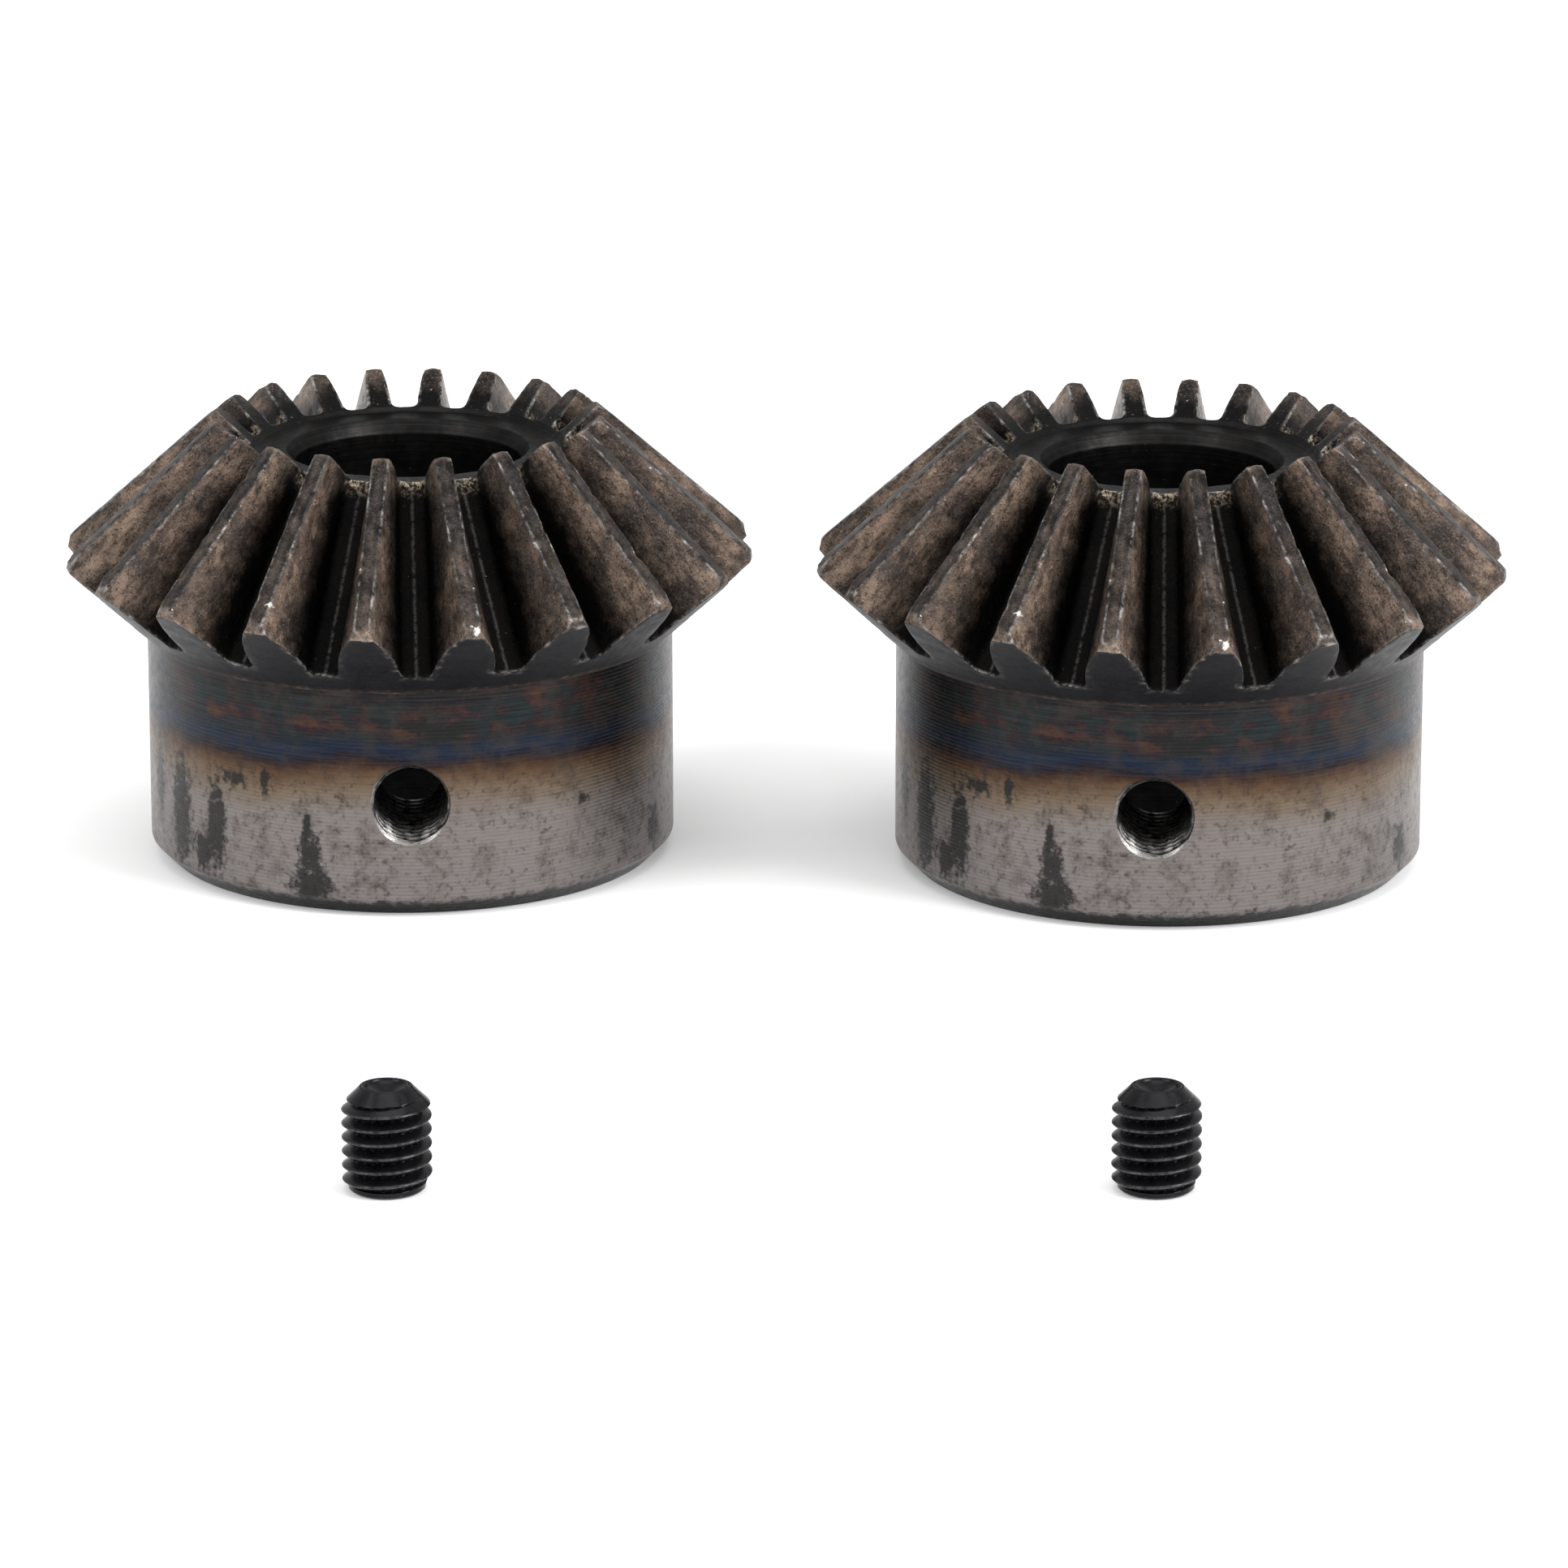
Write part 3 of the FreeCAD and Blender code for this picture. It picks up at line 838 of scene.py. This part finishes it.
# Heat colours of the hub, as (height in mm, colour), from clean steel to the oxide near the teeth
HEAT_COLOURS = (
    (0.0, (0.192, 0.174, 0.169)),
    (6.2, (0.192, 0.170, 0.161)),
    (8.0, (0.148, 0.108, 0.073)),
    (9.0, (0.085, 0.048, 0.026)),
    (9.6, (0.030, 0.014, 0.010)),
    (9.9, (0.011, 0.011, 0.018)),
    (10.5, (0.009, 0.017, 0.036)),
    (11.3, (0.012, 0.017, 0.023)),
    (11.9, (0.020, 0.014, 0.016)),
    (12.6, (0.012, 0.015, 0.019)),
    (13.3, (0.018, 0.015, 0.014)),
    (14.0, (0.012, 0.012, 0.014)),
)


def hub_steel():
    """Turned hub, hardened teeth above it: heat colours from slate through blue and straw to grey."""
    s = Surface("heat_tinted_hub_steel", metallic=0.92, specular=0.3)
    height = s.parts()[2]
    wander = s.math("MULTIPLY_ADD", s.noise(0.11, detail=2), 3.0, -1.5)
    ragged = s.math("MULTIPLY_ADD", s.noise(1.0, detail=7, roughness=0.7), 1.4, -0.7)
    shifted = s.math("ADD", height, s.math("ADD", wander, ragged))
    top = HEAT_COLOURS[-1][0]
    heat = s.remap(shifted, 0, top)
    colour = s.ramp(heat, [(at / top, tint) for at, tint in HEAT_COLOURS])
    bands = s.noise(0.8, detail=6, roughness=0.65, place=s.scaled((0.55, 0.55, 1.0)))
    tints = s.ramp(bands, [
        (0.38, (0.009, 0.018, 0.024)),
        (0.45, (0.012, 0.022, 0.022)),
        (0.50, (0.013, 0.013, 0.016)),
        (0.56, (0.036, 0.016, 0.018)),
        (0.64, (0.060, 0.030, 0.016)),
    ])
    upper = s.math("MULTIPLY", s.remap(shifted, 10.9, 11.8), s.remap(shifted, 14.2, 13.4))
    colour = s.blend(s.math("MULTIPLY", upper, 0.8), colour, tints)
    turning = s.noise(1.0, detail=6, roughness=0.75, place=s.scaled((0.25, 0.25, 9)))
    colour = s.blend(s.remap(turning, 0.45, 0.75, 0, 0.16), colour, (0.17, 0.155, 0.15))
    clouds = s.noise(0.55, detail=7, roughness=0.72)
    colour = s.blend(s.remap(clouds, 0.48, 0.66, 0, 0.6), colour, (0.050, 0.040, 0.034))
    mottle = s.noise(2.2, detail=7, roughness=0.72)
    colour = s.blend(s.remap(mottle, 0.55, 0.68, 0, 0.65), colour, (0.028, 0.023, 0.020))
    stain = s.math("MULTIPLY_ADD", s.noise(2.0, detail=7, roughness=0.72), 0.9, s.attribute("stain"))
    colour = s.blend(s.remap(stain, 0.74, 0.90, 0, 0.9), colour, (0.016, 0.017, 0.017))
    lines = s.math("SINE", s.math("MULTIPLY_ADD", height, 27.0, s.math("MULTIPLY", turning, 9.0)))
    colour = s.blend(s.remap(lines, 0.2, 1.0, 0, 0.22), colour, (0.045, 0.038, 0.034))
    # Painted shade: darker along the foot of the hub and over its bottom chamfer, where it stands on
    # the floor.
    foot = s.math("MULTIPLY_ADD", s.noise(1.3, detail=6, roughness=0.7), 1.6, height)
    colour = s.blend(s.remap(foot, 1.95, 1.6, 0, 0.96), colour, (0.013, 0.0125, 0.0125))
    specks = s.remap(s.noise(3.4, detail=5, roughness=0.85), 0.70, 0.73)
    colour = s.blend(specks, colour, (0.42, 0.40, 0.38))
    roughness = s.remap(mottle, 0.3, 0.7, 0.26, 0.45)
    normal = s.bump(turning, 0.012)
    normal = s.bump(lines, 0.003, normal)
    normal = s.bump(s.noise(4.0, detail=4), 0.01, normal)
    return s.finish(colour, roughness, normal)


def nose_steel():
    """Turned nose ring, chamfer and bore: dark oxide, with the rings that a turning tool leaves."""
    s = Surface("turned_bore_steel", metallic=0.85, specular=0.3)
    s.shader.inputs["Specular Tint"].default_value = (0.6, 0.6, 0.6, 1)
    x, y, z = s.parts()
    radius = s.math("SQRT", s.math("ADD", s.math("MULTIPLY", x, x), s.math("MULTIPLY", y, y)))
    across = s.add("ShaderNodeCombineXYZ", {"X": radius, "Y": z}, 0)
    rings = s.noise(5.0, detail=4, roughness=0.7, place=across)
    broad = s.noise(0.6, detail=5)
    colour = s.blend(s.remap(broad, 0.35, 0.65), (0.007, 0.0068, 0.0068), (0.015, 0.014, 0.0135))
    colour = s.blend(s.remap(rings, 0.5, 0.7, 0, 0.5), colour, (0.030, 0.028, 0.027))
    # Painted glints: small bright specks on the nose ring, chamfer and bore.
    specks = s.remap(s.noise(2.6, detail=5, roughness=0.85), 0.67, 0.71)
    colour = s.blend(specks, colour, (0.45, 0.42, 0.39))
    roughness = s.remap(s.noise(1.8, detail=4), 0.3, 0.7, 0.30, 0.48)
    normal = s.bump(rings, 0.02)
    return s.finish(colour, roughness, normal)


def thread_steel():
    """The cut thread of the tapped hole: crests and rim bright as bare cut steel and as painted
    highlight, grooves in painted shade, with patches of grime.
    """
    s = Surface("cut_thread_steel", metallic=0.95, specular=0.3)
    # Crests and rim lighter, partly bare cut steel and partly painted highlight; grooves nearly black,
    # painted shade.
    lit_crests = s.remap(s.noise(1.2, detail=3), 0.34, 0.56, 0.55, 1.0)
    lit_crests = s.math("MULTIPLY", s.attribute("crest"), lit_crests)
    colour = s.blend(s.remap(lit_crests, 0.40, 0.90), (0.008, 0.0075, 0.0075), (0.27, 0.26, 0.25))
    grime = s.remap(s.noise(3.0, detail=5, roughness=0.7), 0.52, 0.64, 0, 0.4)
    colour = s.blend(grime, colour, (0.030, 0.027, 0.025))
    roughness = s.remap(s.noise(1.8, detail=4), 0.3, 0.7, 0.24, 0.42)
    normal = s.bump(s.noise(5.0, detail=4), 0.02)
    return s.finish(colour, roughness, normal)


def black_oxide():
    """Blackened set screw, slightly rusty in spots, rubbed lighter on the thread crests."""
    s = Surface("black_oxide_steel", metallic=0.5, specular=0.25)
    broad = s.noise(1.2, detail=5)
    colour = s.blend(s.remap(broad, 0.35, 0.65), (0.005, 0.005, 0.006), (0.010, 0.010, 0.012))
    rust = s.remap(s.noise(1.3, detail=6, roughness=0.7, distortion=0.4), 0.64, 0.70, 0, 0.8)
    colour = s.blend(rust, colour, (0.055, 0.036, 0.024))
    wear = s.math("MULTIPLY", s.attribute("wear"), s.remap(s.noise(3.0, detail=4), 0.35, 0.65))
    colour = s.blend(s.math("MULTIPLY", wear, 0.7), colour, (0.11, 0.11, 0.115))
    specks = s.remap(s.noise(5.0, detail=4, roughness=0.8), 0.72, 0.75)
    colour = s.blend(specks, colour, (0.40, 0.39, 0.38))
    roughness = s.remap(s.noise(2.5, detail=4), 0.3, 0.7, 0.20, 0.32)
    normal = s.bump(s.noise(5.0, detail=4), 0.004)
    return s.finish(colour, roughness, normal)


# ------------------------------------------------------------------ placing the pieces

HUB_STAINS = (
    # azimuth in degrees from the tapped hole, height, half width, half height (mm)
    (1.5, 12.2, 1.2, 0.42),
    (6.0, 11.6, 1.3, 0.5),
    (9.8, 12.0, 1.2, 0.42),
    (27.0, 11.5, 0.45, 0.75),
    (35.0, 12.2, 0.4, 0.9),
    (-22.0, 1.9, 1.4, 1.2),
    (-22.2, 3.6, 0.8, 1.5),
    (-22.4, 5.2, 0.4, 1.5),
    (-33.0, 8.0, 0.3, 1.1),
    (-41.0, 7.9, 1.0, 0.5),
    (-47.0, 4.6, 0.9, 3.2),
    (-52.0, 2.6, 0.7, 1.3),
    (-60.0, 4.6, 1.2, 3.8),
    (-72.0, 6.0, 0.8, 2.6),
    (40.0, 6.5, 0.4, 0.5),
    (66.0, 3.0, 0.9, 1.4),
    (120.0, 5.0, 1.6, 0.8),
    (170.0, 4.0, 0.7, 2.4),
    (215.0, 8.0, 1.2, 0.7),
    (260.0, 3.0, 0.9, 1.9),
)


def stain_hub(mesh):
    """Marks oil and smoke stains on the hub in the point attribute stain."""
    points = coordinates(mesh) / MM
    azimuth = np.arctan2(points[:, 0], -points[:, 1]) - HOLE_OFFSET
    density = np.zeros(len(points))
    for degrees, height, half_width, half_height in HUB_STAINS:
        away = (azimuth - math.radians(degrees) + math.pi) % (2 * math.pi) - math.pi
        reach = np.hypot(away * HUB_EDGE[0] / half_width, (points[:, 2] - height) / half_height)
        density = np.maximum(density, np.clip(1.25 - 0.6 * reach, 0, 1))
    point_attribute(mesh, "stain", density * 0.55)


def add_piece(mesh, name, location, node, body):
    """An object for a finished mesh, standing for one CAD node and riding on its body."""
    piece = bpy.data.objects.new(name, mesh)
    bpy.context.scene.collection.objects.link(piece)
    piece.location = location
    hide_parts(node)
    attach(piece, body)


def set_materials(mesh, materials):
    """Fills the mesh's material slots in order, and keeps what each face points to."""
    while len(mesh.materials) < len(materials):
        mesh.materials.append(None)
    for number, material in enumerate(materials):
        mesh.materials[number] = material
    while len(mesh.materials) > len(materials):
        mesh.materials.pop()


def named(rows, name):
    """The row of a list of records that has that name."""
    return next(row for row in rows if row["name"] == name)


def place_gears():
    """Both gears share one mesh; each is turned so that its tapped hole is where the record says."""
    record = frame["record"]
    hole_height = named(record["mounts"], "left_tapped_hole")["pos_m"][2] / MM
    mesh = gear_mesh(hole_height)
    stain_hub(mesh)
    set_materials(mesh, [tooth_steel(), cone_steel(), hub_steel(), nose_steel(), thread_steel()])
    for side in ("left", "right"):
        axis = named(record["mounts"], f"{side}_tapped_hole")["axis"]
        turn = math.atan2(axis[0], -axis[1]) - HOLE_OFFSET
        turned_mesh = mesh.copy()
        turned_mesh.transform(Matrix.Rotation(turn, 4, "Z"))
        centre = named(frame["joints"], f"{side}_gear_spin")["pos_m"]
        body = f"{side}_gear"
        add_piece(turned_mesh, f"bevel_gear_{side}", centre, f"gear_{side}", body)


def place_screws():
    """Both set screws share one mesh and stand in the middle of their CAD boxes."""
    mesh = screw_mesh()
    set_materials(mesh, [black_oxide()])
    for side in ("left", "right"):
        node = f"set_screw_{side}"
        low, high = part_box(node)
        foot = ((low.x + high.x) / 2, (low.y + high.y) / 2, low.z)
        body = f"{side}_station"
        add_piece(mesh, f"cup_point_{node}", foot, node, body)


# ------------------------------------------------------------------ floor, light and camera

LENS_MM = 183.5
CAMERA_DISTANCE = 0.450
CAMERA_PAN = math.radians(3.5)          # to the right of the front
CAMERA_ELEVATION = math.radians(16.22)
AIM_OFFSET = Vector((0.00304, -0.02522, 0.00453))    # from the middle of the CAD box


def add_camera():
    """A long lens from the front, a little above."""
    low, high = cad_box
    data = bpy.data.cameras.new("camera")
    data.lens = LENS_MM
    data.sensor_width = 36
    camera = bpy.data.objects.new("camera", data)
    bpy.context.scene.collection.objects.link(camera)
    back = Vector((
        math.sin(CAMERA_PAN) * math.cos(CAMERA_ELEVATION),
        -math.cos(CAMERA_PAN) * math.cos(CAMERA_ELEVATION),
        math.sin(CAMERA_ELEVATION),
    ))
    camera.location = (low + high) / 2 + AIM_OFFSET + back * CAMERA_DISTANCE
    camera.rotation_euler = (math.pi / 2 - CAMERA_ELEVATION, 0, CAMERA_PAN)
    bpy.context.scene.camera = camera


def add_floor():
    """A large pale floor."""
    half = 4.0
    mesh = bpy.data.meshes.new("floor")
    corners = [(-half, -half, 0), (half, -half, 0), (half, half, 0), (-half, half, 0)]
    mesh.from_pydata(corners, [], [(0, 1, 2, 3)])
    floor = bpy.data.objects.new("floor", mesh)
    bpy.context.scene.collection.objects.link(floor)
    material = bpy.data.materials.new("pale_floor")
    material.use_nodes = True
    shader = material.node_tree.nodes["Principled BSDF"]
    shader.inputs["Base Color"].default_value = (0.9, 0.9, 0.9, 1)
    shader.inputs["Emission Color"].default_value = (1, 1, 1, 1)
    shader.inputs["Emission Strength"].default_value = 0.2
    shader.inputs["Roughness"].default_value = 0.9
    shader.inputs["Specular IOR Level"].default_value = 0.1
    mesh.materials.append(material)


def add_softbox(name, azimuth, elevation, distance, size, power):
    """A square area light that looks at the middle of the object."""
    low, high = cad_box
    centre = (low + high) / 2
    data = bpy.data.lights.new(name, "AREA")
    data.shape = "SQUARE"
    data.size = size
    data.energy = power
    light = bpy.data.objects.new(name, data)
    bpy.context.scene.collection.objects.link(light)
    back = Vector((
        math.sin(math.radians(azimuth)) * math.cos(math.radians(elevation)),
        -math.cos(math.radians(azimuth)) * math.cos(math.radians(elevation)),
        math.sin(math.radians(elevation)),
    ))
    light.location = centre + back * distance
    light.rotation_euler = back.to_track_quat("Z", "Y").to_euler()


def add_studio():
    """Soft light from all round, with a stronger softbox from the upper right."""
    world = bpy.data.worlds.new("studio")
    world.use_nodes = True
    background = world.node_tree.nodes["Background"]
    background.inputs["Color"].default_value = (1, 1, 1, 1)
    background.inputs["Strength"].default_value = 0.68
    bpy.context.scene.world = world
    add_softbox("key_softbox", 66, 36, 1.6, 0.8, 22)
    add_softbox("top_softbox", 10, 82, 1.6, 1.2, 9)
    add_softbox("fill_softbox", -58, 42, 1.6, 0.9, 8)
    bpy.context.scene.view_settings.view_transform = "Standard"


add_camera()
add_floor()
add_studio()
place_gears()
place_screws()
